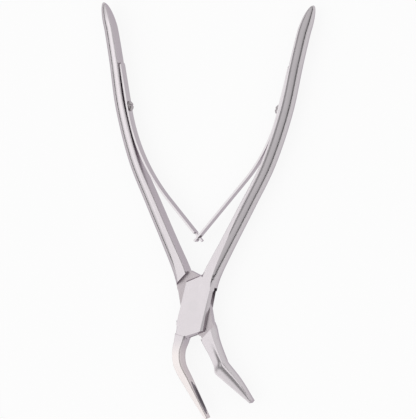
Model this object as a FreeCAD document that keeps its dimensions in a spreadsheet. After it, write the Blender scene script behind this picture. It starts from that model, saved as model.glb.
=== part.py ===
import FreeCAD, Part
import math
import os

import Sketcher

# A bone rongeur: two crossing halves joined by a box lock, opened by a pair of leaf springs.
# It lies flat: X across, Y towards the handles, Z up through the thickness of the joint.
# The origin is on the axis of the joint pin, on the underside of the joint.
# Each half is drawn as it stands with the jaws shut, then swung open about the pin.

# Every driving dimension, in millimetres and degrees.
SIZES = {
    # the joint
    "half_opening": 12.0,
    "joint_thickness": 9.0,
    "slot_thickness": 4.0,
    "tongue_play": 0.1,
    "cheek_half_width": 6.7,
    "tongue_half_width": 6.3,
    "shoulder_distance": 12.0,
    "shoulder_tilt": 36.0,
    "shoulder_gap": 0.3,
    "upper_web_distance": 12.6,
    "upper_web_side_y": 9.4,
    "lower_web_distance": 10.6,
    "lower_web_side_y": 7.2,
    "web_corner_x": 4.0,
    "web_gap": 0.3,
    "cross_gap": 0.35,
    "cheek_slope": 1.3,
    "pin_radius": 2.2,
    "pin_play": 0.05,
    # the handles, the same on both halves: height up the instrument, distance of the inner
    # face from the middle line, width, and width of the flat front
    "handle_bevel": 0.35,
    "handle_overlap": 2.0,
    "handle_thickness": 8.7,
    "foot_y": 8.0,
    "foot_inner": 0.35,
    "foot_width": 6.4,
    "foot_flat": 5.05,
    "root_y": 15.0,
    "root_inner": 0.95,
    "root_width": 6.4,
    "root_thickness": 8.93,
    "root_flat": 4.1,
    "lower_y": 29.0,
    "lower_inner": 4.7,
    "lower_width": 5.8,
    "lower_flat": 2.5,
    "middle_y": 46.0,
    "middle_inner": 9.15,
    "middle_width": 5.5,
    "middle_flat": 1.1,
    "belly_y": 65.0,
    "belly_inner": 13.9,
    "belly_width": 5.1,
    "belly_flat": 0.7,
    "upper_y": 88.0,
    "upper_inner": 16.15,
    "upper_width": 4.9,
    "upper_flat": 0.7,
    "neck_y": 109.0,
    "neck_inner": 15.8,
    "neck_width": 4.7,
    "neck_flat": 0.7,
    "grip_y": 122.0,
    "grip_inner": 15.9,
    "grip_width": 4.5,
    "grip_flat": 0.6,
    "grip_end_length": 12.0,
    "grip_end_lean": 0.9,
    # the bite line, along which the shut jaws meet
    "bite_x": 4.6,
    "bite_y": -29.8,
    "bite_turn": 40.7,
    "bite_length": 18.6,
    "bite_gap": 0.1,
    "bite_bevel": 0.25,
    "bite_start_thickness": 7.3,
    "bite_middle_thickness": 6.0,
    "bite_tip_thickness": 4.8,
    # the jaw of the box half
    "left_foot_inner": 0.35,
    "left_foot_width": 6.4,
    "left_root_inner": -0.7,
    "left_root_y": -15.4,
    "left_root_width": 4.9,
    "left_shank_inner": -1.15,
    "left_shank_y": -20.2,
    "left_shank_turn": 5.0,
    "left_shank_width": 4.2,
    "left_bend_inner": 0.4,
    "left_bend_y": -25.0,
    "left_bend_turn": 26.0,
    "left_bend_width": 4.0,
    "left_bite_start_width": 3.8,
    "left_bite_middle_width": 2.8,
    "left_bite_tip_width": 1.5,
    # the jaw of the tongue half
    "right_root_inner": 0.9,
    "right_root_y": -15.0,
    "right_root_width": 5.7,
    "right_shank_inner": 3.2,
    "right_shank_y": -21.0,
    "right_shank_turn": 2.0,
    "right_shank_width": 4.5,
    "right_bend_inner": 4.4,
    "right_bend_y": -25.8,
    "right_bend_turn": 14.0,
    "right_bend_width": 4.9,
    "right_bite_start_width": 5.7,
    "right_bite_middle_width": 3.9,
    "right_bite_tip_width": 1.5,
    # both jaws
    "jaw_foot_y": -8.0,
    "jaw_root_thickness": 8.2,
    "jaw_shank_thickness": 7.8,
    "jaw_bend_thickness": 7.7,
    "jaw_flat_share": 0.8,
    # how far the front and back of the right jaw are ground hollow beside their outer edge
    "hollow_bend": 0.35,
    "hollow_start": 0.75,
    "hollow_middle": 0.85,
    "hollow_tip": 0.4,
    # the hollow of each jaw
    "cup_start": 1.6,
    "cup_length": 15.6,
    "cup_depth": 1.25,
    "cup_half_width": 1.85,
    # the leaf springs
    "leaf_thickness": 0.8,
    "left_leaf_width": 5.6,
    "right_leaf_width": 4.8,
    "leaf_stand_off": 0.35,
    "leaf_seat_gap": 0.03,
    "leaf_top_y": 107.0,
    "leaf_free_y": 87.0,
    "left_leaf_bend_radius": 81.0,
    "right_leaf_bend_radius": 68.0,
    "leaf_crossing_y": 29.0,
    "leaf_past_crossing": 2.3,
    "leaf_shoulder": 2.2,
    "leaf_tongue_width": 2.2,
    "leaf_window_width": 2.9,
    "leaf_window_length": 3.0,
    "leaf_corner": 1.2,
    # the spring screws
    "screw_y": 88.3,
    "screw_head_radius": 2.15,
    "screw_head_height": 1.6,
    "screw_head_rim": 0.45,
    "screw_shank_radius": 1.0,
    "screw_depth": 3.0,
    "screw_play": 0.05,
    "driver_slot_width": 0.7,
    "driver_slot_depth": 0.7,
}

# The round outer side of a handle or jaw is made of this many short flats.
OUTER_FLATS = 10
# Where the points of a hollow lie: how far across the front, and at what share of its depth.
HOLLOW_SHAPE = [(0.5, 0.85), (0.82, 0.5)]

doc = FreeCAD.newDocument("rongeur")
sheet = doc.addObject("Spreadsheet::Sheet", "sizes")
for row, (alias, number) in enumerate(SIZES.items(), start=1):
    sheet.set(f"A{row}", alias)
    sheet.set(f"B{row}", str(number))
    sheet.setAlias(f"B{row}", alias)
doc.recompute()


class Size:
    """A dimension worked out from the sheet: its number and the expression that gives it."""

    def __init__(self, number, text):
        self.number = number
        self.text = text

    def __add__(self, other):
        other = size(other)
        return Size(self.number + other.number, f"({self.text} + {other.text})")

    def __sub__(self, other):
        other = size(other)
        return Size(self.number - other.number, f"({self.text} - {other.text})")

    def __mul__(self, other):
        other = size(other)
        return Size(self.number * other.number, f"({self.text} * {other.text})")

    def __truediv__(self, other):
        other = size(other)
        return Size(self.number / other.number, f"({self.text} / {other.text})")

    def __neg__(self):
        return Size(-self.number, f"(0 - {self.text})")


def size(value):
    """A named cell of the sheet, or a plain number, as a Size."""
    if isinstance(value, Size):
        return value
    if isinstance(value, str):
        return Size(SIZES[value], f"sizes.{value}")
    return Size(float(value), repr(float(value)))


def sine(angle):
    angle = size(angle)
    return Size(math.sin(math.radians(angle.number)), f"sin({angle.text} * 1 deg)")


def cosine(angle):
    angle = size(angle)
    return Size(math.cos(math.radians(angle.number)), f"cos({angle.text} * 1 deg)")


def root(value):
    return Size(math.sqrt(value.number), f"sqrt({value.text})")


def arctangent(value):
    return Size(math.degrees(math.atan(value.number)), f"(atan({value.text}) / 1 deg)")


def arccosine(value):
    return Size(math.degrees(math.acos(value.number)), f"(acos({value.text}) / 1 deg)")


def new_body(name):
    body = doc.addObject("PartDesign::Body", name)
    body.Label = name
    return body


def origin_plane(body, role):
    return [item for item in body.Origin.OriginFeatures if item.Role == role][0]


def flat_sketch(body, name, x=0, y=0, z=0, turn=0):
    """A sketch level with the instrument, moved to x, y, z and turned about Z."""
    sketch = body.newObject("Sketcher::SketchObject", name)
    sketch.AttachmentSupport = (origin_plane(body, "XY_Plane"), [""])
    sketch.MapMode = "FlatFace"
    place(sketch, FreeCAD.Vector(0, 0, 1), size(x), size(y), size(z), size(turn))
    return sketch


def upright_sketch(body, name, x, y, turn):
    """A sketch that stands across the instrument at x, y: its own x runs across at the angle
    turn from X, and its own y runs up."""
    sketch = body.newObject("Sketcher::SketchObject", name)
    sketch.AttachmentSupport = (origin_plane(body, "XZ_Plane"), [""])
    sketch.MapMode = "FlatFace"
    place(sketch, FreeCAD.Vector(0, 1, 0), size(x), size(0), -size(y), size(turn))
    return sketch


def place(sketch, axis, x, y, z, turn):
    sketch.AttachmentOffset = FreeCAD.Placement(
        FreeCAD.Vector(x.number, y.number, z.number), FreeCAD.Rotation(axis, turn.number)
    )
    sketch.setExpression("AttachmentOffset.Base.x", x.text)
    sketch.setExpression("AttachmentOffset.Base.y", y.text)
    sketch.setExpression("AttachmentOffset.Base.z", z.text)
    sketch.setExpression("AttachmentOffset.Rotation.Angle", turn.text)


def dimension(sketch, kind, *refs_and_size):
    """A driving constraint bound to the sheet."""
    *refs, value = refs_and_size
    value = size(value)
    index = sketch.addConstraint(Sketcher.Constraint(kind, *refs, value.number))
    sketch.setExpression(f"Constraints[{index}]", value.text)


def fix_point(sketch, geometry, end, x, y):
    """Hold a point of a sketch at x, y from its origin."""
    dimension(sketch, "DistanceX", -1, 1, geometry, end, x)
    dimension(sketch, "DistanceY", -1, 1, geometry, end, y)


def polygon(sketch, points):
    """A closed outline of straight lines through points given as pairs of sizes."""
    corners = [(size(x), size(y)) for x, y in points]
    vectors = [FreeCAD.Vector(x.number, y.number, 0) for x, y in corners]
    count = len(corners)
    for k in range(count):
        sketch.addGeometry(Part.LineSegment(vectors[k], vectors[(k + 1) % count]))
    for k in range(count):
        sketch.addConstraint(Sketcher.Constraint("Coincident", k, 2, (k + 1) % count, 1))
        fix_point(sketch, k, 1, *corners[k])


def limb_section(body, name, x, y, turn, width, thickness, flat, bevel, hollow=0):
    """One cross section of a handle or jaw, a D on its side: a flat inner face at x, y with
    bevelled edges, a front and back that are flat or ground hollow, and an outer side of
    short flats that follow a round to the full width."""
    width, thickness, flat, bevel = size(width), size(thickness), size(flat), size(bevel)
    hollow = size(hollow)
    half = thickness / 2
    bulge = width - flat
    radius = (half * half + bulge * bulge) / (bulge * 2)
    centre = width - radius
    side = [(size(0), half - bevel), (bevel, half - hollow)]
    for across, depth in HOLLOW_SHAPE:
        side.append((bevel + (flat - bevel) * across, half - hollow * depth))
    side.append((flat, half))
    reach = arctangent(bulge / half) * 2
    for step in range(1, OUTER_FLATS // 2):
        angle = reach * (1 - 2 * step / OUTER_FLATS)
        side.append((centre + radius * cosine(angle), radius * sine(angle)))
    corners = side + [(width, size(0))] + [(x, -y) for x, y in reversed(side)]
    sketch = upright_sketch(body, name, x, y, turn)
    polygon(sketch, corners)
    return sketch


def loft(body, name, sections):
    feature = body.newObject("PartDesign::AdditiveLoft", name)
    feature.Profile = sections[0]
    feature.Sections = sections[1:]
    doc.recompute()
    return feature


def pad(body, name, sketch, thickness):
    """A pad half above and half below its sketch."""
    feature = body.newObject("PartDesign::Pad", name)
    feature.Profile = sketch
    feature.SideType = "Symmetric"
    feature.Length = size(thickness).number
    feature.setExpression("Length", size(thickness).text)
    doc.recompute()
    return feature


def pocket(body, name, sketch, thickness, one_sided=False, upward=False):
    feature = body.newObject("PartDesign::Pocket", name)
    feature.Profile = sketch
    feature.SideType = "One side" if one_sided else "Symmetric"
    feature.Reversed = upward
    feature.Length = size(thickness).number
    feature.setExpression("Length", size(thickness).text)
    return cut_something(body, feature)


def groove(body, name, sketch):
    """A full turn of a sketch about its first construction line, cut away."""
    feature = body.newObject("PartDesign::Groove", name)
    feature.Profile = sketch
    feature.ReferenceAxis = (sketch, ["Axis0"])
    feature.Angle = 360
    return cut_something(body, feature)


def cut_something(body, feature):
    """Stop if a cut took nothing away."""
    before = feature.BaseFeature.Shape.Volume
    doc.recompute()
    if feature.Shape.Volume > before - 1e-3:
        raise RuntimeError(f"{feature.Name} of {body.Label} cut nothing")
    return feature


def joint_bore(body, radius):
    sketch = flat_sketch(body, f"{body.Name}_bore_circle")
    sketch.addGeometry(Part.Circle(FreeCAD.Vector(), FreeCAD.Vector(0, 0, 1), radius.number))
    sketch.addConstraint(Sketcher.Constraint("Coincident", 0, 3, -1, 1))
    dimension(sketch, "Radius", 0, radius)
    return pocket(body, f"{body.Name}_bore", sketch, size("joint_thickness") * 2)


def handle(body, side):
    """The handle of one half. side is 1 on the right and -1 on the left."""
    sections = []
    turn = 0 if side > 0 else 180
    for station in ("foot", "root", "lower", "middle", "belly", "upper", "neck", "grip"):
        thickness = {"foot": "joint_thickness", "root": "root_thickness"}.get(
            station, "handle_thickness"
        )
        sections.append(
            limb_section(
                body, f"{body.Name}_{station}", size(f"{station}_inner") * side,
                f"{station}_y", turn, f"{station}_width", thickness, f"{station}_flat",
                "handle_bevel",
            )
        )
    # the end rounds off as a quarter of an ellipse, seen flat and from the side
    for step in (20, 40, 60, 80):
        share = cosine(step)
        y = size("grip_y") + size("grip_end_length") * sine(step)
        lost = size("grip_width") * (size(1) - share) / 2
        inner = size("grip_inner") + lost + size("grip_end_lean") * sine(step)
        sections.append(
            limb_section(
                body, f"{body.Name}_end_{step}", inner * side, y, turn,
                size("grip_width") * share, size("handle_thickness") * share,
                size("grip_flat") * share, size("handle_bevel") * share,
            )
        )
    return loft(body, f"{body.Name}_handle", sections)


def bite_point(along, outward):
    """A point of the shut jaws: along the bite line from its start, and out from it."""
    x = size("bite_x") + along * sine("bite_turn") + outward * cosine("bite_turn")
    y = size("bite_y") - along * cosine("bite_turn") + outward * sine("bite_turn")
    return x, y


def jaw(body, prefix, side):
    """One jaw. side is the way that it lies from the bite line: 1 right, -1 left."""
    flip = size(0) if side > 0 else size(180)
    share = size("jaw_flat_share")
    foot_width = size("left_foot_width")
    foot_x = size("left_foot_inner") * side
    hollow = dict.fromkeys(("shank", "bend", "start", "middle", "tip"), 0)
    if side > 0:
        hollow.update(bend="hollow_bend", start="hollow_start", middle="hollow_middle",
                      tip="hollow_tip")
    sections = [
        limb_section(
            body, f"{body.Name}_jaw_foot", foot_x, "jaw_foot_y", flip, foot_width,
            "joint_thickness", "foot_flat", "handle_bevel",
        ),
        limb_section(
            body, f"{body.Name}_jaw_root", f"{prefix}_root_inner", f"{prefix}_root_y", flip,
            f"{prefix}_root_width", "jaw_root_thickness",
            size(f"{prefix}_root_width") * share, "handle_bevel",
        ),
    ]
    for station in ("shank", "bend"):
        sections.append(
            limb_section(
                body, f"{body.Name}_jaw_{station}", f"{prefix}_{station}_inner",
                f"{prefix}_{station}_y", size(f"{prefix}_{station}_turn") + flip,
                f"{prefix}_{station}_width", f"jaw_{station}_thickness",
                size(f"{prefix}_{station}_width") * share, "bite_bevel",
                hollow[station],
            )
        )
    beak = []
    for station, along in (("start", size(0)), ("middle", size("bite_length") / 2),
                           ("tip", size("bite_length"))):
        x, y = bite_point(along, size("bite_gap") / 2 * side)
        width = size(f"{prefix}_bite_{station}_width")
        beak.append(
            limb_section(
                body, f"{body.Name}_bite_{station}", x, y, size("bite_turn") + flip, width,
                f"bite_{station}_thickness", width * share, "bite_bevel", hollow[station],
            )
        )
    loft(body, f"{body.Name}_shank", sections + beak[:1])
    loft(body, f"{body.Name}_beak", beak)
    cup(body, side)


def cup(body, side):
    """The hollow of one jaw: a round channel turned about an upright line beside the jaw, so
    that it is deepest in the middle and runs out at both ends."""
    depth = size("cup_depth")
    half_width = size("cup_half_width")
    half_length = size("cup_length") / 2
    channel_radius = (depth * depth + half_width * half_width) / (depth * 2)
    floor_radius = (depth * depth + half_length * half_length) / (depth * 2)
    x, y = bite_point(size("cup_start") + half_length, (depth - floor_radius) * side)
    sketch = upright_sketch(body, f"{body.Name}_cup_circle", x, y, "bite_turn")
    middle = (floor_radius - channel_radius) * side
    sketch.addGeometry(
        Part.Circle(FreeCAD.Vector(middle.number, 0, 0), FreeCAD.Vector(0, 0, 1),
                    channel_radius.number)
    )
    sketch.addConstraint(Sketcher.Constraint("PointOnObject", 0, 3, -1))
    dimension(sketch, "DistanceX", -1, 1, 0, 3, middle)
    dimension(sketch, "Radius", 0, channel_radius)
    feature = body.newObject("PartDesign::Groove", f"{body.Name}_cup")
    feature.Profile = sketch
    feature.ReferenceAxis = (sketch, ["V_Axis"])
    feature.Midplane = True
    # the channel meets the bite this far round on each side, and is turned half as far again
    edge_angle = arctangent(half_length / (floor_radius - depth))
    feature.Angle = (edge_angle * 3).number
    feature.setExpression("Angle", (edge_angle * 3).text)
    cut_something(body, feature)


def swing_open(body, side):
    """Turn a part from where it is drawn, with the jaws shut, to rest, with them open."""
    angle = size("half_opening") * side
    lift = size("joint_thickness") / 2
    body.Placement = FreeCAD.Placement(
        FreeCAD.Vector(0, 0, lift.number), FreeCAD.Rotation(FreeCAD.Vector(0, 0, 1), angle.number)
    )
    body.setExpression("Placement.Base.z", lift.text)
    body.setExpression("Placement.Rotation.Angle", angle.text)


def shoulder_y(x, distance):
    """Height at x of a line that passes the pin at a distance, tilted as the shoulders are."""
    return (size(distance) + size(x) * sine("shoulder_tilt")) / cosine("shoulder_tilt")


def web_y(x, distance):
    """Height at x of a line that passes the pin at a distance, tilted the other way."""
    return (size(distance) - size(x) * sine("shoulder_tilt")) / cosine("shoulder_tilt")


def box_half():
    """The half with the box: right handle, two cheeks with a slot between, left jaw."""
    body = new_body("box_half")
    cheek = size("cheek_half_width")
    cheek_line = size("shoulder_distance") - "shoulder_gap"
    top_left = (-cheek, shoulder_y(-cheek, cheek_line))
    top = (size("cross_gap"), shoulder_y("cross_gap", cheek_line))
    right = (cheek, size("foot_y") + "handle_overlap")
    outline = flat_sketch(body, "cheek_outline")
    corners = [top_left, top, right]
    corners += [(-x, -y) for x, y in corners]
    polygon(outline, corners)
    # the sides slope in from the middle of the thickness to the front and back
    cheeks = pad(body, "cheeks", outline, "joint_thickness")
    slope = arctangent(size("cheek_slope") / (size("joint_thickness") / 2))
    cheeks.TaperAngle = -slope.number
    cheeks.setExpression("TaperAngle", f"-{slope.text}")
    doc.recompute()
    handle(body, 1)
    jaw(body, "left", -1)
    slot(body)
    joint_bore(body, size("pin_radius"))
    bore_square_to_seat(body, "box_half_screw_hole", 1, size(-1),
                        size("screw_depth") + "screw_play",
                        size("screw_shank_radius") + "screw_play")
    swing_open(body, -1)
    return body


def web_corners(inside, start_x, side_x, side_inside):
    """Corners of the end of the slot above the pin and then of the one below it, or, a gap
    inside them, of the ends of the tongue."""
    ends = []
    for part, sign in (("upper", 1), ("lower", -1)):
        distance = size(f"{part}_web_distance") - inside
        corner_x = size("web_corner_x") - inside
        corners = [
            (start_x, web_y(start_x, distance)),
            (corner_x, web_y(corner_x, distance)),
            (side_x, size(f"{part}_web_side_y") - side_inside),
        ]
        ends.append([(x * sign, y * sign) for x, y in corners])
    return ends


def slot(body):
    """The slot between the cheeks: open where the tongue half crosses, and closed by the
    webs that join the cheeks to the handle and the jaw."""
    sketch = flat_sketch(body, "slot_outline")
    reach = size("upper_web_distance") * 2
    gap = size("cross_gap")
    side_x = size("foot_inner") + "foot_width"
    outline = []
    for sign, (start, corner, side) in zip((1, -1), web_corners(size(0), gap, side_x, size(0))):
        beyond = (side[0] * 2 - corner[0], side[1] * 2 - corner[1])
        outline += [(-reach * sign, reach * sign), (gap * sign, reach * sign), start, corner,
                    beyond, (reach * sign, beyond[1])]
    polygon(sketch, outline)
    pocket(body, "slot", sketch, "slot_thickness")


def tongue_half():
    """The half with the tongue: left handle, a thin middle that passes through the box,
    right jaw."""
    body = new_body("tongue_half")
    thickness = size("slot_thickness") - size("tongue_play") * 2
    half_width = size("tongue_half_width")
    gap = size("web_gap")
    top = size("shoulder_distance") + "handle_overlap"
    outline = flat_sketch(body, "tongue_outline")
    upper, lower = web_corners(gap, -size("foot_inner"), half_width, gap * 2)
    root_corner = (-half_width, shoulder_y(-half_width, top))
    polygon(outline, [root_corner] + upper + [(-root_corner[0], -root_corner[1])] + lower)
    pad(body, "tongue", outline, thickness)
    handle(body, -1)
    jaw(body, "right", 1)
    for face, upward in (("front", True), ("back", False)):
        level = thickness / 2 * (1 if upward else -1)
        sketch = flat_sketch(body, f"{face}_recess_outline", 0, 0, level, "shoulder_tilt")
        reach = size("shoulder_distance") * 2
        depth = size("shoulder_distance")
        polygon(sketch, [(-reach, -depth), (reach, -depth), (reach, depth), (-reach, depth)])
        pocket(body, f"{face}_recess", sketch, "joint_thickness", True, upward)
    joint_bore(body, size("pin_radius") + "pin_play")
    bore_square_to_seat(body, "tongue_half_screw_hole", -1, size(-1),
                        size("screw_depth") + "screw_play",
                        size("screw_shank_radius") + "screw_play")
    swing_open(body, 1)
    return body


def seat_slope():
    """How far a clamped leaf leans, as a tangent, up the handle. It lies on the handle at its
    top and stands a little off the hollow of the handle's inner face at its screw."""
    rise = size("neck_y") - "upper_y"
    return (size("neck_inner") - "upper_inner" + "leaf_stand_off") / rise


def seat_x(y):
    """Distance from the middle line of the straight back of the clamped leaf."""
    return size("upper_inner") - "leaf_stand_off" + (size(y) - "upper_y") * seat_slope()


def leaf_x(y):
    """Distance from the middle line of the middle of a seated leaf."""
    return seat_x(y) - "leaf_seat_gap" - size("leaf_thickness") / 2


def seat_turn(side):
    """The angle of a line square to the seat of the leaf, pointing to the right."""
    return -arctangent(seat_slope()) * side


def bore_square_to_seat(body, name, side, start, end, radius):
    """A round hole square to the seat of the leaf, at the height of the spring screw."""
    sketch = flat_sketch(body, f"{name}_outline", seat_x("screw_y") * side, "screw_y", 0,
                         seat_turn(side))
    screw_axis(sketch)
    box_outline(sketch, 1, start * side, end * side, radius)
    groove(body, name, sketch)


def screw_axis(sketch):
    """A construction line along the sketch's own x axis, for turned features."""
    sketch.addGeometry(
        Part.LineSegment(FreeCAD.Vector(-1, 0, 0), FreeCAD.Vector(1, 0, 0)), True
    )
    sketch.addConstraint(Sketcher.Constraint("Horizontal", 0))
    fix_point(sketch, 0, 1, size(-1), size(0))
    dimension(sketch, "DistanceX", 0, 1, 0, 2, 2)


def box_outline(sketch, first, start_x, end_x, height):
    """A rectangle that stands on the sketch's own x axis. first is its first geometry."""
    corners = [(start_x, size(0)), (end_x, size(0)), (end_x, height), (start_x, height)]
    vectors = [FreeCAD.Vector(x.number, y.number, 0) for x, y in corners]
    for k in range(4):
        sketch.addGeometry(Part.LineSegment(vectors[k], vectors[(k + 1) % 4]))
    for k in range(4):
        sketch.addConstraint(
            Sketcher.Constraint("Coincident", first + k, 2, first + (k + 1) % 4, 1)
        )
        fix_point(sketch, first + k, 1, *corners[k])


def joint_pin():
    """The pin, tight in both cheeks, free in the tongue, ground level with the cheeks."""
    body = new_body("joint_pin")
    sketch = flat_sketch(body, "pin_circle")
    sketch.addGeometry(Part.Circle(FreeCAD.Vector(), FreeCAD.Vector(0, 0, 1),
                                   SIZES["pin_radius"]))
    sketch.addConstraint(Sketcher.Constraint("Coincident", 0, 3, -1, 1))
    dimension(sketch, "Radius", 0, "pin_radius")
    pad(body, "pin", sketch, "joint_thickness")
    swing_open(body, -1)
    return body


def leaf_path(body, side, bend_radius, past_crossing):
    """The middle line of a leaf seen flat: straight on its seat, an arc, then straight to
    and past the place where the two leaves cross. Returns the sketch, the crossing point and
    the angle at which the leaf crosses."""
    radius = size(bend_radius)
    lean = arctangent(seat_slope())
    top = (leaf_x("leaf_top_y"), size("leaf_top_y"))
    free = (leaf_x("leaf_free_y"), size("leaf_free_y"))
    centre = (free[0] - radius * cosine(lean), free[1] + radius * sine(lean))
    crossing = (
        size("leaf_crossing_y") * sine("half_opening") * -1,
        size("leaf_crossing_y") * cosine("half_opening"),
    )
    across = crossing[0] - centre[0]
    down = centre[1] - crossing[1]
    distance = root(across * across + down * down)
    turned = arctangent(down / across) - arccosine(radius / distance)
    leave = (centre[0] + radius * cosine(turned), centre[1] - radius * sine(turned))
    end = (
        crossing[0] - past_crossing * sine(turned), crossing[1] - past_crossing * cosine(turned)
    )
    halfway = math.radians((lean.number + turned.number) / 2)
    bow = FreeCAD.Vector(
        side * (centre[0].number + radius.number * math.cos(halfway)),
        centre[1].number - radius.number * math.sin(halfway), 0,
    )
    points = [(x * side, y) for x, y in (top, free, leave, end)]
    vectors = [FreeCAD.Vector(x.number, y.number, 0) for x, y in points]
    path = flat_sketch(body, f"{body.Name}_path")
    path.addGeometry(Part.LineSegment(vectors[0], vectors[1]))
    path.addGeometry(Part.Arc(vectors[1], bow, vectors[2]))
    path.addGeometry(Part.LineSegment(vectors[2], vectors[3]))
    upper_end, lower_end = (2, 1) if side > 0 else (1, 2)
    path.addConstraint(Sketcher.Constraint("Coincident", 0, 2, 1, upper_end))
    path.addConstraint(Sketcher.Constraint("Coincident", 1, lower_end, 2, 1))
    fix_point(path, 0, 1, *points[0])
    fix_point(path, 0, 2, *points[1])
    fix_point(path, 2, 1, *points[2])
    fix_point(path, 2, 2, *points[3])
    dimension(path, "Radius", 1, radius)
    return path, (crossing[0] * side, crossing[1]), turned


def leaf_spring(name, side, width, bend_radius, past_crossing):
    """A flat strip swept along its path, with a hole for its screw and rounded corners at the
    top. Returns the body, the crossing point and the crossing angle."""
    body = new_body(name)
    path, crossing, turned = leaf_path(body, side, bend_radius, past_crossing)
    strip = upright_sketch(body, f"{name}_strip", leaf_x("leaf_top_y") * side, "leaf_top_y",
                           seat_turn(side))
    half_thickness = size("leaf_thickness") / 2
    half_width = width / 2
    polygon(strip, [
        (-half_thickness, -half_width), (half_thickness, -half_width),
        (half_thickness, half_width), (-half_thickness, half_width),
    ])
    sweep = body.newObject("PartDesign::AdditivePipe", f"{name}_sweep")
    sweep.Profile = strip
    sweep.Spine = (path, [""])
    doc.recompute()
    reach = size("leaf_thickness") * 2
    bore_square_to_seat(body, f"{name}_screw_hole", side, -reach, reach,
                        size("screw_shank_radius") + "screw_play")
    corners = []
    for number, edge in enumerate(body.Tip.Shape.Edges, start=1):
        middle = edge.BoundBox.Center
        at_top = abs(middle.y - SIZES["leaf_top_y"]) < SIZES["leaf_thickness"]
        if at_top and edge.BoundBox.ZLength < 1e-6:
            if abs(edge.Length - SIZES["leaf_thickness"]) < 1e-3:
                corners.append(f"Edge{number}")
    fillet = body.newObject("PartDesign::Fillet", f"{name}_corners")
    fillet.Base = (body.getObject(f"{name}_screw_hole"), corners)
    fillet.Radius = SIZES["leaf_corner"]
    fillet.setExpression("Radius", "sizes.leaf_corner")
    doc.recompute()
    return body, crossing, turned


def left_leaf():
    """The leaf whose narrow tongue passes through the other one's window."""
    body, crossing, turned = leaf_spring("left_leaf_spring", -1, size("left_leaf_width"),
                                         "left_leaf_bend_radius", -size("leaf_shoulder"))
    sketch = flat_sketch(body, "leaf_tongue_outline", crossing[0], crossing[1], 0, turned - 90)
    start = -size("leaf_shoulder") - "leaf_thickness"
    end = size("leaf_past_crossing")
    half = size("leaf_thickness") / 2
    polygon(sketch, [(start, -half), (end, -half), (end, half), (start, half)])
    pad(body, "leaf_tongue", sketch, "leaf_tongue_width")
    swing_open(body, 1)
    return body


def right_leaf():
    """The leaf with the window near its end."""
    body, crossing, turned = leaf_spring("right_leaf_spring", 1, size("right_leaf_width"),
                                         "right_leaf_bend_radius", size("leaf_past_crossing"))
    sketch = flat_sketch(body, "leaf_window_outline", crossing[0], crossing[1], 0,
                         -turned - 90)
    half_length = size("leaf_window_length") / 2
    half = size("leaf_thickness")
    polygon(sketch, [
        (-half_length, -half), (half_length, -half), (half_length, half), (-half_length, half),
    ])
    pocket(body, "leaf_window", sketch, "leaf_window_width")
    swing_open(body, -1)
    return body


def spring_screw(name, side):
    """A turned screw with a domed head on the leaf, a driver slot, and a plain shank."""
    body = new_body(name)
    place_args = (seat_x("screw_y") * side, "screw_y", 0, seat_turn(side))
    sketch = flat_sketch(body, f"{name}_outline", *place_args)
    screw_axis(sketch)
    under_head = -(size("leaf_thickness") + size("leaf_seat_gap") * 2) * side
    rim = under_head - size("screw_head_rim") * side
    crown = under_head - size("screw_head_height") * side
    shank = size("screw_shank_radius")
    head = size("screw_head_radius")
    tip = size("screw_depth") * side
    corners = [
        (crown, size(0)), (tip, size(0)), (tip, shank), (under_head, shank),
        (under_head, head), (rim, head),
    ]
    vectors = [FreeCAD.Vector(x.number, y.number, 0) for x, y in corners]
    for k in range(5):
        sketch.addGeometry(Part.LineSegment(vectors[k], vectors[k + 1]))
    rise = size("screw_head_height") - "screw_head_rim"
    dome = (head * head + rise * rise) / (rise * 2)
    centre_x = crown.number + dome.number * side
    half_turn = math.asin(head.number / dome.number) / 2
    bow = FreeCAD.Vector(centre_x - side * dome.number * math.cos(half_turn),
                         dome.number * math.sin(half_turn), 0)
    sketch.addGeometry(Part.Arc(vectors[5], bow, vectors[0]))
    for k in range(1, 5):
        sketch.addConstraint(Sketcher.Constraint("Coincident", k, 2, k + 1, 1))
    rim_end, crown_end = (1, 2) if side > 0 else (2, 1)
    sketch.addConstraint(Sketcher.Constraint("Coincident", 5, 2, 6, rim_end))
    sketch.addConstraint(Sketcher.Constraint("Coincident", 6, crown_end, 1, 1))
    for k in range(5):
        fix_point(sketch, k + 1, 1, *corners[k])
    fix_point(sketch, 5, 2, *corners[5])
    dimension(sketch, "Radius", 6, dome)
    turned = body.newObject("PartDesign::Revolution", f"{name}_turned")
    turned.Profile = sketch
    turned.ReferenceAxis = (sketch, ["Axis0"])
    turned.Angle = 360
    doc.recompute()
    driver = flat_sketch(body, f"{name}_driver_slot_outline", *place_args)
    half = size("driver_slot_width") / 2
    floor = crown + size("driver_slot_depth") * side
    above = crown - size("driver_slot_depth") * side
    polygon(driver, [(above, -half), (floor, -half), (floor, half), (above, half)])
    pocket(body, f"{name}_driver_slot", driver, head * 4)
    swing_open(body, -side)
    return body


pieces = [
    box_half(),
    tongue_half(),
    joint_pin(),
    left_leaf(),
    right_leaf(),
    spring_screw("left_spring_screw", -1),
    spring_screw("right_spring_screw", 1),
]

doc.recompute()
for item in doc.Objects:
    if "Invalid" in item.State or "Error" in item.State:
        raise RuntimeError(f"{item.Label} failed: {item.State}")
for body in pieces:
    if body.Shape.isNull() or not body.Shape.isValid() or len(body.Shape.Solids) != 1:
        raise RuntimeError(f"{body.Label} has no single valid solid")

os.makedirs("parts", exist_ok=True)
for body in pieces:
    body.Shape.exportStep(f"parts/{body.Label}.step")
    print(body.Label, round(body.Shape.Volume, 1), "mm3")
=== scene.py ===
import math

import bmesh
import bpy
from mathutils import Matrix, Vector


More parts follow.
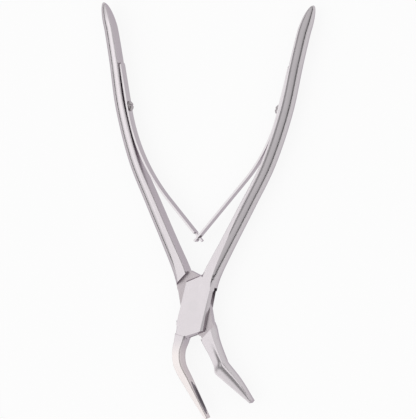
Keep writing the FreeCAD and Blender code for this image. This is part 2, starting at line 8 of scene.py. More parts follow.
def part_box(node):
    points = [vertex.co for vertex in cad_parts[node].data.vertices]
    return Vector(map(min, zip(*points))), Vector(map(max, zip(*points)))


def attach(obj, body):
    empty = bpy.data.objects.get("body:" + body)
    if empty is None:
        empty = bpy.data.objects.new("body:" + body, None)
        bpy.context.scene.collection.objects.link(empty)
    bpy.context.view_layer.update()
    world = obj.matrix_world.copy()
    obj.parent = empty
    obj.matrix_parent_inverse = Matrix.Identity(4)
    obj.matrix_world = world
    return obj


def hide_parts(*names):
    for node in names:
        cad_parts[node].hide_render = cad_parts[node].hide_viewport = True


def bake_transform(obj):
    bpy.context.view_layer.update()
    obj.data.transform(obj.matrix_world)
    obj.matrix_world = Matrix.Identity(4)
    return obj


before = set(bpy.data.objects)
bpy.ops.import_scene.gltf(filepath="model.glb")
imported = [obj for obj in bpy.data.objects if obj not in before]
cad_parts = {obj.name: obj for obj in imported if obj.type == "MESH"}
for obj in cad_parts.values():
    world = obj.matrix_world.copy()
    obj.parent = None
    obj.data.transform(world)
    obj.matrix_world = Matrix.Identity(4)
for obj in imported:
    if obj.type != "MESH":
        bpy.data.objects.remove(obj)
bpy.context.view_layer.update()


# The box half: one forging of hardened stainless steel that is the right handle, the two
# cheeks of the joint and the left jaw. It is ground, the slot is broached out between the
# cheeks, and the whole is brushed to a satin finish with its edges just broken.
DOUBLE_POINTS = 1e-6
SAME_FLAT = math.radians(0.2)
SHARP_EDGE = math.radians(32)
MACHINED_CREASE = 12


def finished_copy(node, name, broken_edge, crease):
    """The machined piece as it leaves the polishing wheel: one skin, its edges broken by
    broken_edge, and every bend under crease degrees polished round."""
    piece = bpy.data.objects.new(name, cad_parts[node].data.copy())
    bpy.context.scene.collection.objects.link(piece)
    bpy.ops.object.select_all(action="DESELECT")
    piece.select_set(True)
    bpy.context.view_layer.objects.active = piece
    bpy.ops.object.mode_set(mode="EDIT")
    bpy.ops.mesh.select_all(action="SELECT")
    bpy.ops.mesh.remove_doubles(threshold=DOUBLE_POINTS)
    bpy.ops.mesh.dissolve_limited(angle_limit=SAME_FLAT)
    bpy.ops.object.mode_set(mode="OBJECT")
    if broken_edge:
        edge = piece.modifiers.new("broken_edge", "BEVEL")
        edge.width = broken_edge
        edge.segments = 2
        edge.limit_method = "ANGLE"
        edge.angle_limit = SHARP_EDGE
        edge.use_clamp_overlap = True
        bpy.ops.object.modifier_apply(modifier="broken_edge")
    bpy.ops.object.shade_smooth_by_angle(angle=math.radians(crease))
    piece.data.materials.clear()
    return piece


SCRATCH_SCALE = (9000, 350, 9000)
CLOUD_SCALE = 90.0
CLOUD_SHADE = 0.965
GLOSS_CHANGE = 0.03
RIM_TINT = (0.62, 0.57, 0.62, 1)


def satin_steel(name, colour, roughness, grain_turn, grain_depth):
    """Stainless steel brushed along the piece: fine scratches that run at grain_turn degrees
    from the length of the instrument, faint cloudy patches from the polishing, and small
    changes of gloss."""
    steel = bpy.data.materials.new(name)
    steel.use_nodes = True
    tree = steel.node_tree
    shader = tree.nodes["Principled BSDF"]
    shader.inputs["Metallic"].default_value = 1.0
    # at a glancing angle the scratches break up the mirror, so that the rims are darker
    shader.inputs["Specular Tint"].default_value = RIM_TINT
    place = tree.nodes.new("ShaderNodeTexCoord")
    along = tree.nodes.new("ShaderNodeMapping")
    along.inputs["Rotation"].default_value = (0, 0, math.radians(grain_turn))
    along.inputs["Scale"].default_value = SCRATCH_SCALE
    tree.links.new(place.outputs["Object"], along.inputs["Vector"])
    scratches = tree.nodes.new("ShaderNodeTexNoise")
    scratches.inputs["Scale"].default_value = 1.0
    scratches.inputs["Detail"].default_value = 3.0
    scratches.inputs["Roughness"].default_value = 0.6
    tree.links.new(along.outputs["Vector"], scratches.inputs["Vector"])
    clouds = tree.nodes.new("ShaderNodeTexNoise")
    clouds.inputs["Scale"].default_value = CLOUD_SCALE
    clouds.inputs["Detail"].default_value = 2.0
    tree.links.new(place.outputs["Object"], clouds.inputs["Vector"])
    tone = tree.nodes.new("ShaderNodeValToRGB")
    tone.color_ramp.elements[0].position = 0.3
    tone.color_ramp.elements[0].color = (*[c * CLOUD_SHADE for c in colour], 1)
    tone.color_ramp.elements[1].position = 0.7
    tone.color_ramp.elements[1].color = (*colour, 1)
    tree.links.new(clouds.outputs["Fac"], tone.inputs["Fac"])
    tree.links.new(tone.outputs["Color"], shader.inputs["Base Color"])
    gloss = tree.nodes.new("ShaderNodeMapRange")
    gloss.inputs["From Min"].default_value = 0.3
    gloss.inputs["From Max"].default_value = 0.7
    gloss.inputs["To Min"].default_value = roughness - GLOSS_CHANGE
    gloss.inputs["To Max"].default_value = roughness + GLOSS_CHANGE
    tree.links.new(scratches.outputs["Fac"], gloss.inputs["Value"])
    tree.links.new(gloss.outputs["Result"], shader.inputs["Roughness"])
    relief = tree.nodes.new("ShaderNodeBump")
    relief.inputs["Strength"].default_value = grain_depth
    relief.inputs["Distance"].default_value = 0.00001
    tree.links.new(scratches.outputs["Fac"], relief.inputs["Height"])
    tree.links.new(relief.outputs["Normal"], shader.inputs["Normal"])
    return steel


def between(piece, low, high, turned):
    """Saw the piece off square at low and high millimetres up its own length, measured with
    the jaws shut, and close the cuts. turned is how far the open half stands turned."""
    lengthwise = Vector((-math.sin(math.radians(turned)), math.cos(math.radians(turned)), 0))
    bpy.ops.object.select_all(action="DESELECT")
    piece.select_set(True)
    bpy.context.view_layer.objects.active = piece
    bpy.ops.object.mode_set(mode="EDIT")
    for level, way in ((low, -1), (high, 1)):
        bpy.ops.mesh.select_all(action="SELECT")
        bpy.ops.mesh.bisect(
            plane_co=lengthwise * level / 1000, plane_no=lengthwise * way, use_fill=True,
            clear_outer=True,
        )
    bpy.ops.object.mode_set(mode="OBJECT")
    bpy.ops.object.shade_smooth_by_angle(angle=math.radians(MACHINED_CREASE))


def flowing(stations, steps, leading_on=None):
    """Sizes between the stations, each flowing smoothly from one station to the next.
    leading_on is the next station after the last one, whose lead the shape takes up."""
    places = [0]
    for before, after in zip(stations, stations[1:]):
        places.append(places[-1] + math.hypot(after[0] - before[0], after[1] - before[1]))
    slopes = []
    for k in range(len(stations)):
        low, high = max(k - 1, 0), min(k + 1, len(stations) - 1)
        slopes.append([
            (b - a) / (places[high] - places[low]) for a, b in zip(stations[low], stations[high])
        ])
    if leading_on:
        last = stations[-1]
        gap = math.hypot(leading_on[0] - last[0], leading_on[1] - last[1])
        slopes[-1] = [(b - a) / gap for a, b in zip(last, leading_on)]
    sizes = []
    for k in range(len(stations) - 1):
        gap = places[k + 1] - places[k]
        for step in range(steps + (k == len(stations) - 2)):
            t = step / steps
            start = 2 * t ** 3 - 3 * t ** 2 + 1
            leave = (t ** 3 - 2 * t ** 2 + t) * gap
            end = 3 * t ** 2 - 2 * t ** 3
            arrive = (t ** 3 - t ** 2) * gap
            sizes.append([
                start * a + leave * m + end * b + arrive * n
                for a, b, m, n in zip(stations[k], stations[k + 1], slopes[k], slopes[k + 1])
            ])
    return sizes


def beyond_cut(sizes, start):
    """The sizes from the height start on, away from the joint, the first of them just there."""
    kept = []
    for before, after in zip(sizes, sizes[1:]):
        if abs(after[1]) > abs(start):
            if not kept:
                share = (start - before[1]) / (after[1] - before[1])
                kept.append([a + (b - a) * share for a, b in zip(before, after)])
            kept.append(after)
    return kept


JOINT_MIDDLE = 4.5
HOLLOW_RIM = 0.3
RIM_STEPS = 6
FRONT_STEPS = 12
ROUND_STEPS = 13
# the broken corner, in shares of its size: how far in from the inner face, how far down
CORNER_POINTS = ((0.1, 0.62), (0.4, 0.22))
# across a hollow-ground front: where it starts to fall away, its lowest line, its ridge
HOLLOW_START, HOLLOW_FLOOR, RIDGE_START = 0.45, 0.88, 0.99


def d_section(sizes, turned, rim=HOLLOW_RIM, scoop=lambda up: 0):
    """One cross section of a limb, as points in metres: a flat inner face, broken corners, a
    flat or hollow-ground front and back, and a round outer side. sizes are the place of the
    inner face, its turn, and the width, thickness, flat, corner and hollow."""
    x, y, turn, width, thickness, flat, corner, hollow = sizes
    half = thickness / 2
    bulge = width - flat
    radius = (half * half + bulge * bulge) / (bulge * 2)
    reach = 2 * math.atan(bulge / half)
    front = [(corner * inwards, half - corner * down) for inwards, down in CORNER_POINTS]
    for step in range(FRONT_STEPS + 1):
        t = step / FRONT_STEPS
        fall = max(0, (t - HOLLOW_START) / (HOLLOW_FLOOR - HOLLOW_START)) ** 2
        rise = max(0, (RIDGE_START - t) / (RIDGE_START - HOLLOW_FLOOR))
        front.append((corner + (flat - corner) * t, half - hollow * min(fall, rise)))
    for step in range(1, ROUND_STEPS):
        angle = reach * (1 - step / ROUND_STEPS)
        front.append((width - radius + radius * math.cos(angle), radius * math.sin(angle)))
    face_end = half - corner
    inner = [(scoop(rim * k / RIM_STEPS), rim * k / RIM_STEPS) for k in range(RIM_STEPS)]
    inner += [(0, rim), (0, (rim + face_end) / 2), (0, face_end)]
    upper = inner + front
    outline = upper + [(width, 0)] + [(u, -w) for u, w in reversed(upper[1:])]
    across = math.radians(turn + turned)
    place = Matrix.Rotation(math.radians(turned), 3, "Z") @ Vector((x, y, 0))
    points = []
    for u, w in outline:
        points.append(Vector((
            place.x + u * math.cos(across), place.y + u * math.sin(across), JOINT_MIDDLE + w,
        )) / 1000)
    return points


def drawn_limb(name, sections, crease):
    """A limb forged section by section: a filled ring laid on the first section, then extruded
    to each of the others, so that both of its ends are closed."""
    bpy.ops.object.select_all(action="DESELECT")
    bpy.ops.mesh.primitive_circle_add(vertices=len(sections[0]), radius=0.003, fill_type="NGON")
    limb = bpy.context.object
    limb.name = name
    bpy.ops.object.mode_set(mode="EDIT")
    shape = bmesh.from_edit_mesh(limb.data)
    for vertex, point in zip(shape.verts, sections[0]):
        vertex.co = point
    for before, section in zip(sections, sections[1:]):
        bpy.ops.mesh.extrude_region_move()
        shape = bmesh.from_edit_mesh(limb.data)
        following = {tuple(round(c, 7) for c in old): new for old, new in zip(before, section)}
        for vertex in [v for v in shape.verts if v.select]:
            vertex.co = following[tuple(round(c, 7) for c in vertex.co)]
    bpy.ops.mesh.select_all(action="SELECT")
    bpy.ops.mesh.normals_make_consistent(inside=False)
    bpy.ops.object.mode_set(mode="OBJECT")
    bpy.ops.object.shade_smooth_by_angle(angle=math.radians(crease))
    limb.data.materials.append(half_steel)
    return limb


# up the handle: height, inner face from the middle line, width, thickness, flat front
HANDLE_STATIONS = [
    (8.0, 0.35, 6.4, 9.0, 5.05),
    (15.0, 0.95, 6.4, 8.93, 4.1),
    (29.0, 4.7, 5.8, 8.7, 2.5),
    (46.0, 9.15, 5.5, 8.7, 1.1),
    (65.0, 13.9, 5.1, 8.7, 0.7),
    (88.0, 16.15, 4.9, 8.7, 0.7),
    (109.0, 15.8, 4.7, 8.7, 0.7),
    (122.0, 15.9, 4.5, 8.7, 0.6),
]
HANDLE_CORNER = 0.35
HANDLE_STEPS = 7
HANDLE_CREASE = 14
GRIP_END_LENGTH = 11.85
GRIP_END_LEAN = 0.9
GRIP_END_ANGLES = (15, 30, 45, 60, 72, 82, 88)


def handle(name, side, turned, start):
    """A handle that tapers up from the joint to its rounded end. side is 1 right, -1 left."""
    stations = [
        (inner * side, y, 0 if side > 0 else 180, width, thickness, flat, HANDLE_CORNER, 0)
        for y, inner, width, thickness, flat in HANDLE_STATIONS
    ]
    y, inner, width, thickness, flat = HANDLE_STATIONS[-1]
    for degrees in GRIP_END_ANGLES:
        rise = math.sin(math.radians(degrees))
        share = math.cos(math.radians(degrees))
        lean = width * (1 - share) / 2 + GRIP_END_LEAN * rise
        stations.append((
            (inner + lean) * side, y + GRIP_END_LENGTH * rise, stations[0][2], width * share,
            thickness * share, flat * share, HANDLE_CORNER * share, 0,
        ))
    sections = [
        d_section(sizes, turned) for sizes in beyond_cut(flowing(stations, HANDLE_STEPS), start)
    ]
    return drawn_limb(name, sections, HANDLE_CREASE)


BITE_START = (4.6, -29.8)
BITE_TURN = 40.7
BITE_LENGTH = 18.6
BITE_HALF_GAP = 0.05
BITE_THICKNESSES = (6.9, 5.9, 4.8)
BITE_FLAT_SHARE = 0.8
CUP_START, CUP_LENGTH = 1.6, 15.6
CUP_DEPTH, CUP_HALF_WIDTH = 1.25, 2.4
CUP_LEAST_DEPTH = 0.02
CUP_SHADE_FROM = 0.12
SHANK_STEPS, BITE_STEPS = 10, 26
JAW_CREASE = 26


def jaw(name, side, turned, start, stations, bite_widths, bite_corners, bite_hollows):
    """A jaw: a shank that bends over to the bite, then a straight beak whose inner face is
    ground out to a long cup. stations give x, y, turn, width, thickness, flat, corner and
    hollow of the shank."""
    flip = 0 if side > 0 else 180
    along = Vector((math.sin(math.radians(BITE_TURN)), -math.cos(math.radians(BITE_TURN))))
    outward = Vector((math.cos(math.radians(BITE_TURN)), math.sin(math.radians(BITE_TURN))))
    beak = []
    for share, thickness, width, corner, hollow in zip(
        (0, 0.5, 1), BITE_THICKNESSES, bite_widths, bite_corners, bite_hollows
    ):
        place = Vector(BITE_START) + along * BITE_LENGTH * share + outward * BITE_HALF_GAP * side
        beak.append((
            place.x, place.y, BITE_TURN + flip, width, thickness, width * BITE_FLAT_SHARE,
            corner, hollow,
        ))
    shank = [(x, y, turn + flip, *rest) for x, y, turn, *rest in stations]
    sections = [
        d_section(sizes, turned)
        for sizes in beyond_cut(flowing(shank + beak[:1], SHANK_STEPS, beak[1])[:-1], start)
    ]
    channel = (CUP_DEPTH ** 2 + CUP_HALF_WIDTH ** 2) / (CUP_DEPTH * 2)
    floor = (CUP_DEPTH ** 2 + (CUP_LENGTH / 2) ** 2) / (CUP_DEPTH * 2)
    for sizes in flowing(beak, BITE_STEPS):
        place = Vector(sizes[:2]) - Vector(BITE_START)
        off_middle = place.dot(along) - CUP_START - CUP_LENGTH / 2
        deep = math.sqrt(floor ** 2 - off_middle ** 2) - (floor - CUP_DEPTH)
        if deep > CUP_LEAST_DEPTH:
            rim = math.sqrt(channel ** 2 - (channel - deep) ** 2)

            def scoop(up):
                return deep - channel + math.sqrt(channel ** 2 - up ** 2)

            sections.append(d_section(sizes, turned, rim, scoop))
        else:
            sections.append(d_section(sizes, turned))
    limb = drawn_limb(name, sections, JAW_CREASE)
    # the cup is left as the cutter ground it; its steel is painted dark, a painted shade for the
    # hollow between the jaws
    limb.data.materials.append(cup_painted_shade_steel)
    opened = Matrix.Rotation(math.radians(turned), 3, "Z")
    outward, along = opened @ outward.to_3d() * side, opened @ along.to_3d()
    bite = opened @ Vector((*BITE_START, 0)) / 1000
    # the faces sunk in the cup take the steel painted dark as painted shade
    for face in limb.data.polygons:
        deep = (face.center - bite).dot(outward)
        within = abs(face.center.z - JOINT_MIDDLE / 1000) < CUP_HALF_WIDTH / 1000
        beside = (face.center - bite).dot(along) > CUP_START / 1000
        sunk = deep > CUP_SHADE_FROM / 1000 and face.normal.dot(outward) < -0.3
        if within and beside and sunk:
            face.material_index = 1
    return limb


def one_forging(name, body, node, parts):
    """Weld the parts of a half into one piece in its finish."""
    bpy.ops.object.select_all(action="DESELECT")
    for part in parts:
        part.select_set(True)
    bpy.context.view_layer.objects.active = parts[0]
    bpy.ops.object.join()
    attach(parts[0], body)
    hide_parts(node)


HALF_COLOUR, HALF_ROUGHNESS, HALF_GRAIN = (0.61, 0.573, 0.594), 0.22, 0.12
BROKEN_EDGE = 0.00008
BOX_TURN = -12
# where the drawn handles and the left jaw take over from the machined middle
HANDLE_CUT, LEFT_JAW_CUT = 15.0, -15.4
# the drawn left jaw starts a little inside the stub, so that the two flow together
LEFT_JAW_START = -13.4
half_steel = satin_steel("satin_steel", HALF_COLOUR, HALF_ROUGHNESS, 0, HALF_GRAIN)
# the cup's ground steel, its colour painted dark as painted shade for the hollow between the jaws
cup_painted_shade_steel = satin_steel("cup_painted_shade_steel", (0.22, 0.2, 0.22), 0.3, 49, 0.3)
box = finished_copy("box_half", "box_half_steel", BROKEN_EDGE, MACHINED_CREASE)
between(box, LEFT_JAW_CUT, HANDLE_CUT, BOX_TURN)
box.data.materials.append(half_steel)
# the side of the cheeks below the handle is ground nearly upright, with a chamfer along its
# front and back edge: how far out from the middle line it starts, and its slope in degrees
CHAMFER_START, CHAMFER_SLOPE = 5.35, 30
CORNER_TOP, CORNER_BOTTOM, CORNER_INSIDE, CORNER_DEPTH = 7.0, 10.5, 4.8, 1.9
CORNER_OUT, CORNER_OUT_PER_MM = 0.3, 0.16
bpy.ops.object.mode_set(mode="EDIT")
shape = bmesh.from_edit_mesh(box.data)
outwards = Matrix.Rotation(math.radians(BOX_TURN), 3, "Z") @ Vector((1, 0, 0))
downwards = Matrix.Rotation(math.radians(BOX_TURN), 3, "Z") @ Vector((0, -1, 0))
for vertex in shape.verts:
    height = abs(vertex.co.z * 1000 - JOINT_MIDDLE)
    low = CORNER_TOP < vertex.co.dot(downwards) * 1000 < CORNER_BOTTOM
    if low and vertex.co.dot(outwards) * 1000 > CORNER_INSIDE and height > CORNER_DEPTH:
        vertex.co += outwards * (CORNER_OUT + CORNER_OUT_PER_MM * height) / 1000
for face in (1, -1):
    tilt = math.radians(CHAMFER_SLOPE)
    bpy.ops.mesh.select_all(action="SELECT")
    bpy.ops.mesh.bisect(
        plane_co=(outwards * CHAMFER_START + Vector((0, 0, JOINT_MIDDLE * (1 + face)))) / 1000,
        plane_no=outwards * math.sin(tilt) + Vector((0, 0, math.cos(tilt) * face)),
        use_fill=True, clear_outer=True,
    )
bpy.ops.object.mode_set(mode="OBJECT")
bpy.ops.object.shade_smooth_by_angle(angle=math.radians(MACHINED_CREASE))
# the front and back of the left jaw run on level from the cheeks: the thickness at the cut
# before and after, and how near the cut a point counts as on it
CUT_THICKNESS, LEVEL_THICKNESS, NEAR_CUT = 8.2, 8.88, 0.05
bpy.ops.object.mode_set(mode="EDIT")
bpy.ops.mesh.select_all(action="DESELECT")
shape = bmesh.from_edit_mesh(box.data)
for vertex in shape.verts:
    vertex.select = vertex.co.dot(downwards) * 1000 > -LEFT_JAW_CUT - NEAR_CUT
shape.select_flush(True)
bpy.ops.transform.resize(
    value=(1, 1, LEVEL_THICKNESS / CUT_THICKNESS), center_override=(0, 0, JOINT_MIDDLE / 1000)
)
bpy.ops.object.mode_set(mode="OBJECT")
right_handle = handle("right_handle", 1, BOX_TURN, HANDLE_CUT)
left_jaw = jaw(
    "left_jaw", -1, BOX_TURN, LEFT_JAW_START,
    [
        (-0.35, -8.0, 0, 6.35, 8.88, 5.05, 0.35, 0),
        (-0.7, -15.4, 0, 4.9, 8.93, 3.92, 0.35, 0),
        (-1.15, -20.2, 5, 4.2, 8.2, 3.36, 0.25, 0),
        (0.4, -25.0, 26, 4.0, 7.7, 3.2, 0.25, 0),
    ],
    (3.8, 2.8, 1.5), (0.3, 0.3, 0.25), (0, 0, 0),
)
# the left jaw is painted brighter, a painted light where the light from the left falls on it; the
# painted light fades out towards the cheeks
PAINTED_LIGHT_START, PAINTED_LIGHT_FULL = -0.013, -0.022
PAINTED_LIGHT_COLOUR = (0.74, 0.69, 0.68, 1)
left_jaw_painted_light_steel = satin_steel("left_jaw_painted_light_steel", HALF_COLOUR, HALF_ROUGHNESS, 0, HALF_GRAIN)
tree = left_jaw_painted_light_steel.node_tree
place = tree.nodes.new("ShaderNodeTexCoord")
height = tree.nodes.new("ShaderNodeSeparateXYZ")
tree.links.new(place.outputs["Object"], height.inputs["Vector"])
fade = tree.nodes.new("ShaderNodeMapRange")
fade.interpolation_type = "SMOOTHSTEP"
fade.inputs["From Min"].default_value = PAINTED_LIGHT_START
fade.inputs["From Max"].default_value = PAINTED_LIGHT_FULL
tree.links.new(height.outputs["Y"], fade.inputs["Value"])
painted_light_mix = tree.nodes.new("ShaderNodeMixRGB")
painted_light_mix.inputs["Color2"].default_value = PAINTED_LIGHT_COLOUR
tree.links.new(fade.outputs["Result"], painted_light_mix.inputs["Fac"])
ground = tree.nodes["Principled BSDF"].inputs["Base Color"]
tree.links.new(ground.links[0].from_socket, painted_light_mix.inputs["Color1"])
tree.links.new(painted_light_mix.outputs["Color"], ground)
# the left jaw takes the steel with the painted light
left_jaw.data.materials[0] = left_jaw_painted_light_steel
one_forging("box_half_steel", "box_side", "box_half", [box, right_handle, left_jaw])


# The tongue half: the same steel and finish. It is the left handle, a thin flat middle that
# was threaded through the hot box when the joint was forged, and the right jaw, whose front
# and back are ground hollow beside a ridge.
TONGUE_TURN = 12
RIGHT_JAW_CUT = -15.0
tongue = finished_copy("tongue_half", "tongue_half_steel", BROKEN_EDGE, MACHINED_CREASE)
between(tongue, RIGHT_JAW_CUT, HANDLE_CUT, TONGUE_TURN)
# below the shoulders the jaw swells outwards to the width of its shank
JAW_INNER, SWELL, SWELL_START, SWELL_LENGTH = 0.9, 0.158, 9.0, 6.0
bpy.ops.object.mode_set(mode="EDIT")
shape = bmesh.from_edit_mesh(tongue.data)
outwards = Matrix.Rotation(math.radians(TONGUE_TURN), 3, "Z") @ Vector((1, 0, 0))
downwards = Matrix.Rotation(math.radians(TONGUE_TURN), 3, "Z") @ Vector((0, -1, 0))
for vertex in shape.verts:
    below = vertex.co.dot(downwards) * 1000 - SWELL_START
    reach = vertex.co.dot(outwards) * 1000 - JAW_INNER
    if below > 0 and reach > 0:
        vertex.co += outwards * reach * SWELL * below / SWELL_LENGTH / 1000
bpy.ops.object.mode_set(mode="OBJECT")
bpy.ops.object.shade_smooth_by_angle(angle=math.radians(MACHINED_CREASE))
# its flat sides inside the joint are left as they were milled, duller than the rest
MILLED_DEPTH, FACES_FRONT = 0.0021, 0.95
milled_steel = satin_steel("milled_steel", (0.50, 0.455, 0.475), 0.34, 60, 0.15)
tongue.data.materials.append(half_steel)
tongue.data.materials.append(milled_steel)
for face in tongue.data.polygons:
    inside = abs(face.center.z - JOINT_MIDDLE / 1000) < MILLED_DEPTH
    if abs(face.normal.z) > FACES_FRONT and inside:
        face.material_index = 1
left_handle = handle("left_handle", -1, TONGUE_TURN, HANDLE_CUT)
right_jaw = jaw(
    "right_jaw", 1, TONGUE_TURN, RIGHT_JAW_CUT,
    [
        (0.35, -8.0, 0, 6.4, 9.0, 5.05, 0.35, 0),
        (0.9, -15.0, 0, 6.6, 8.2, 5.28, 0.35, 0),
        (3.0, -21.0, 5, 5.5, 7.8, 4.3, 0.25, 0.14),
        (4.3, -25.8, 21, 5.3, 7.5, 4.2, 0.25, 0.24),
    ],
    (6.6, 4.8, 1.7), (0.25, 0.25, 0.25), (0.3, 0.27, 0.12),
)
one_forging("tongue_half_steel", "tongue_side", "tongue_half", [tongue, left_handle, right_jaw])


# The joint pin: a plain hard steel pin pressed through both cheeks, headed over and ground
# level with them, then polished with the box, so that it hardly shows.
PIN_CREASE = 40
joint_pin = finished_copy("joint_pin", "joint_pin_steel", 0, PIN_CREASE)
joint_pin.data.materials.append(satin_steel("pin_steel", (0.60, 0.565, 0.585), 0.22, 0, 0.1))
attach(joint_pin, "box_side")
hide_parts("joint_pin")


# The two leaf springs: strips of spring steel bent to a bow. Each is screwed to its handle
# near the top, and their free ends cross, the narrow end of one through the window of the
# other, so that they bend as the handles are squeezed.
LEAF_CUTS = 40
LEAF_CREASE = 30
spring_steel = satin_steel("spring_steel", (0.64, 0.61, 0.625), 0.2, 0, 0.1)
for node, handle_body, other_body in (
    ("left_leaf_spring", "tongue_side", "box_side"),
    ("right_leaf_spring", "box_side", "tongue_side"),
):
    leaf = finished_copy(node, node + "_steel", 0, LEAF_CREASE)
    low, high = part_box(node)
    bpy.ops.object.mode_set(mode="EDIT")
    for cut in range(1, LEAF_CUTS):
        bpy.ops.mesh.select_all(action="SELECT")
        level = low.y + (high.y - low.y) * cut / LEAF_CUTS
        bpy.ops.mesh.bisect(plane_co=(0, level, 0), plane_no=(0, 1, 0))
    bpy.ops.object.mode_set(mode="OBJECT")
    bpy.ops.object.shade_smooth_by_angle(angle=math.radians(LEAF_CREASE))
    leaf.data.materials.append(spring_steel)
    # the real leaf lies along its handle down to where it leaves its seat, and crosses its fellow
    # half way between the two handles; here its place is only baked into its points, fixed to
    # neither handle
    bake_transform(leaf)
    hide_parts(node)


# The spring screws: small turned screws with domed, slotted heads, one at the top of each
# leaf. They are left a little duller than the springs.
SCREW_EDGE, SCREW_CREASE = 0.00006, 30
screw_steel = satin_steel("screw_steel", (0.44, 0.41, 0.42), 0.24, 90, 0.05)
for node, handle_body in (("left_spring_screw", "tongue_side"), ("right_spring_screw", "box_side")):
    screw = finished_copy(node, node + "_steel", SCREW_EDGE, SCREW_CREASE)
    screw.data.materials.append(screw_steel)
    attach(screw, handle_body)
    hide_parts(node)


# The table: one sheet of white paper that the instrument lies on.
PAPER_SIZE = 6
PAPER_WHITE = (0.95, 0.95, 0.95, 1)
PAPER_GLOW = 0.88
bpy.ops.object.select_all(action="DESELECT")
bpy.ops.mesh.primitive_plane_add(size=PAPER_SIZE, location=(0, 0, 0))
paper = bpy.context.object
paper.name = "paper"
white_paper = bpy.data.materials.new("white_paper")
white_paper.use_nodes = True
sheet = white_paper.node_tree.nodes["Principled BSDF"]
sheet.inputs["Base Color"].default_value = PAPER_WHITE
sheet.inputs["Roughness"].default_value = 1.0
sheet.inputs["Specular IOR Level"].default_value = 0.0
# to the eye the sheet is lit through from below as well, so that it is white and the shadow on
# it is faint
paper_tree = white_paper.node_tree
glow = paper_tree.nodes.new("ShaderNodeEmission")
glow.inputs["Strength"].default_value = 1.0
lit = paper_tree.nodes.new("ShaderNodeMixShader")
looked_at = paper_tree.nodes.new("ShaderNodeLightPath")
share = paper_tree.nodes.new("ShaderNodeMath")
share.operation = "MULTIPLY"
share.inputs[1].default_value = PAPER_GLOW
seen_or_mirrored = paper_tree.nodes.new("ShaderNodeMath")
seen_or_mirrored.operation = "MAXIMUM"
paper_tree.links.new(looked_at.outputs["Is Camera Ray"], seen_or_mirrored.inputs[0])
paper_tree.links.new(looked_at.outputs["Is Glossy Ray"], seen_or_mirrored.inputs[1])
through = paper_tree.nodes.new("ShaderNodeMath")
through.operation = "MAXIMUM"
paper_tree.links.new(seen_or_mirrored.outputs["Value"], through.inputs[0])
paper_tree.links.new(looked_at.outputs["Is Transmission Ray"], through.inputs[1])
paper_tree.links.new(through.outputs["Value"], share.inputs[0])
paper_tree.links.new(share.outputs["Value"], lit.inputs[0])
paper_tree.links.new(sheet.outputs[0], lit.inputs[1])
paper_tree.links.new(glow.outputs["Emission"], lit.inputs[2])
paper_tree.links.new(lit.outputs["Shader"], paper_tree.nodes["Material Output"].inputs["Surface"])
paper.data.materials.append(white_paper)

# The light tent round the table: bright cloth to the left, a dimmer right side, a dark seam
# straight overhead, and a dark gap low down all round, which draws the dark lines on the steel.
# Brightness of the tent by the angle from straight up, left to right, in degrees.
TENT_PROFILE = [
    (-90, 0.05), (-79, 0.05), (-69, 0.95), (-30, 1.22), (-12, 1.37), (-7, 0.4), (0, 0.2),
    (6, 0.4), (12, 0.82), (55, 0.74), (66, 0.6), (76, 0.05), (90, 0.05),
]
TENT_BRIGHTEST = 1.4
# how far up, as a share of straight up, the gap at both ends and the backdrop reach
END_GAP, END_CLOTH = 0.1, 0.3
END_BRIGHT = 0.05
BACKDROP_TOP, BACKDROP_GONE = 0.07, 0.08
tent = bpy.data.worlds.new("light_tent")
bpy.context.scene.world = tent
tent.use_nodes = True
tree = tent.node_tree
direction = tree.nodes.new("ShaderNodeTexCoord")
parts = tree.nodes.new("ShaderNodeSeparateXYZ")
tree.links.new(direction.outputs["Generated"], parts.inputs["Vector"])
lean = tree.nodes.new("ShaderNodeMath")
lean.operation = "ARCTAN2"
tree.links.new(parts.outputs["X"], lean.inputs[0])
tree.links.new(parts.outputs["Z"], lean.inputs[1])
left_to_right = tree.nodes.new("ShaderNodeMapRange")
left_to_right.inputs["From Min"].default_value = -math.pi / 2
left_to_right.inputs["From Max"].default_value = math.pi / 2
tree.links.new(lean.outputs["Value"], left_to_right.inputs["Value"])
profile = tree.nodes.new("ShaderNodeValToRGB")
profile.color_ramp.interpolation = "EASE"
while len(profile.color_ramp.elements) < len(TENT_PROFILE):
    profile.color_ramp.elements.new(0.5)
for element, (angle, bright) in zip(profile.color_ramp.elements, TENT_PROFILE):
    element.position = (angle + 90) / 180
    element.color = (*[bright / TENT_BRIGHTEST] * 3, 1)
tree.links.new(left_to_right.outputs["Result"], profile.inputs["Fac"])
ends = tree.nodes.new("ShaderNodeMapRange")
ends.interpolation_type = "SMOOTHSTEP"
ends.inputs["From Min"].default_value = END_GAP
ends.inputs["From Max"].default_value = END_CLOTH
ends.inputs["To Min"].default_value = END_BRIGHT
ends.inputs["To Max"].default_value = TENT_BRIGHTEST
tree.links.new(parts.outputs["Z"], ends.inputs["Value"])
cloth = tree.nodes.new("ShaderNodeMath")
cloth.operation = "MULTIPLY"
tree.links.new(profile.outputs["Color"], cloth.inputs[0])
tree.links.new(ends.outputs["Result"], cloth.inputs[1])
# just above the table the white backdrop is seen, and mirrored, in place of the gap
backdrop = tree.nodes.new("ShaderNodeMapRange")
backdrop.inputs["From Min"].default_value = BACKDROP_TOP
backdrop.inputs["From Max"].default_value = BACKDROP_GONE
backdrop.inputs["To Min"].default_value = 1.0
backdrop.inputs["To Max"].default_value = 0.0
tree.links.new(parts.outputs["Z"], backdrop.inputs["Value"])
ray = tree.nodes.new("ShaderNodeLightPath")
seen = tree.nodes.new("ShaderNodeMath")
seen.operation = "MAXIMUM"
tree.links.new(ray.outputs["Is Camera Ray"], seen.inputs[0])
tree.links.new(ray.outputs["Is Glossy Ray"], seen.inputs[1])
seen_through = tree.nodes.new("ShaderNodeMath")
seen_through.operation = "MAXIMUM"
tree.links.new(seen.outputs["Value"], seen_through.inputs[0])
tree.links.new(ray.outputs["Is Transmission Ray"], seen_through.inputs[1])
shown = tree.nodes.new("ShaderNodeMath")
shown.operation = "MULTIPLY"
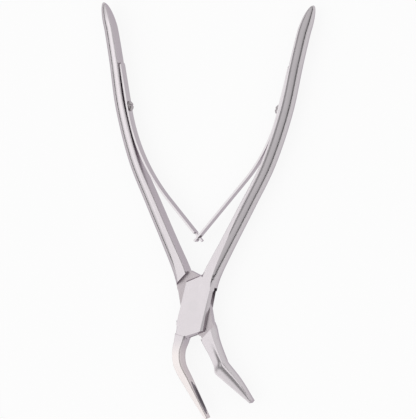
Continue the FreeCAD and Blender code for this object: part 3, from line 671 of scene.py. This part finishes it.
tree.links.new(seen_through.outputs["Value"], shown.inputs[0])
tree.links.new(backdrop.outputs["Result"], shown.inputs[1])
strength = tree.nodes.new("ShaderNodeMix")
strength.inputs[3].default_value = 1.0
tree.links.new(shown.outputs["Value"], strength.inputs[0])
tree.links.new(cloth.outputs["Value"], strength.inputs[2])
tree.links.new(strength.outputs[0], tree.nodes["Background"].inputs["Strength"])
tree.nodes["Background"].inputs["Color"].default_value = (1, 1, 1, 1)

# The lamp: one soft box over the left shoulder, which gives the soft shadow.
bpy.ops.object.select_all(action="DESELECT")
lamp_data = bpy.data.lights.new("soft_box", "AREA")
lamp_data.shape = "RECTANGLE"
lamp_data.size = 0.5
lamp_data.size_y = 0.9
lamp_data.energy = 0.5
lamp = bpy.data.objects.new("soft_box", lamp_data)
bpy.context.scene.collection.objects.link(lamp)
lamp_place = Vector((-1.0, 0.1, 0.8))
lamp.location = lamp_place
lamp.rotation_mode = "QUATERNION"
lamp.rotation_quaternion = (-lamp_place).to_track_quat("-Z", "Y")

# The camera: it looks down on the instrument from 18 degrees to the right of straight down,
# with the picture turned a little clockwise.
VIEW_SIDE = math.radians(18.0)
PICTURE_TURN = math.radians(2.1)
MM_PER_PIXEL = 0.42
PICTURE_WIDTH, PICTURE_HEIGHT = 416, 419
PIVOT_PIXEL = (196.5, 306.0)
CAMERA_DISTANCE = 1.3
SENSOR_HEIGHT = 24.0
joint_low, joint_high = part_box("joint_pin")
pivot = Vector((0, 0, (joint_low.z + joint_high.z) / 2))
back = Vector((math.sin(VIEW_SIDE), 0, math.cos(VIEW_SIDE)))
level_up = Vector((0, 1, 0))
level_right = level_up.cross(back)
picture_up = level_up * math.cos(PICTURE_TURN) - level_right * math.sin(PICTURE_TURN)
picture_right = picture_up.cross(back)
metres_per_pixel = MM_PER_PIXEL / 1000
across = (PICTURE_WIDTH / 2 - PIVOT_PIXEL[0]) * metres_per_pixel
upward = (PIVOT_PIXEL[1] - PICTURE_HEIGHT / 2) * metres_per_pixel
aim = pivot + picture_right * across + picture_up * upward
camera_data = bpy.data.cameras.new("camera")
camera = bpy.data.objects.new("camera", camera_data)
bpy.context.scene.collection.objects.link(camera)
turn = Matrix((picture_right, picture_up, back)).transposed()
camera.matrix_world = Matrix.Translation(aim + back * CAMERA_DISTANCE) @ turn.to_4x4()
camera_data.sensor_fit = "VERTICAL"
camera_data.sensor_height = SENSOR_HEIGHT
camera_data.lens = SENSOR_HEIGHT * CAMERA_DISTANCE / (PICTURE_HEIGHT * metres_per_pixel)
camera_data.clip_start = 0.05
camera_data.clip_end = 10
bpy.context.scene.camera = camera

bpy.context.scene.view_settings.view_transform = "Standard"
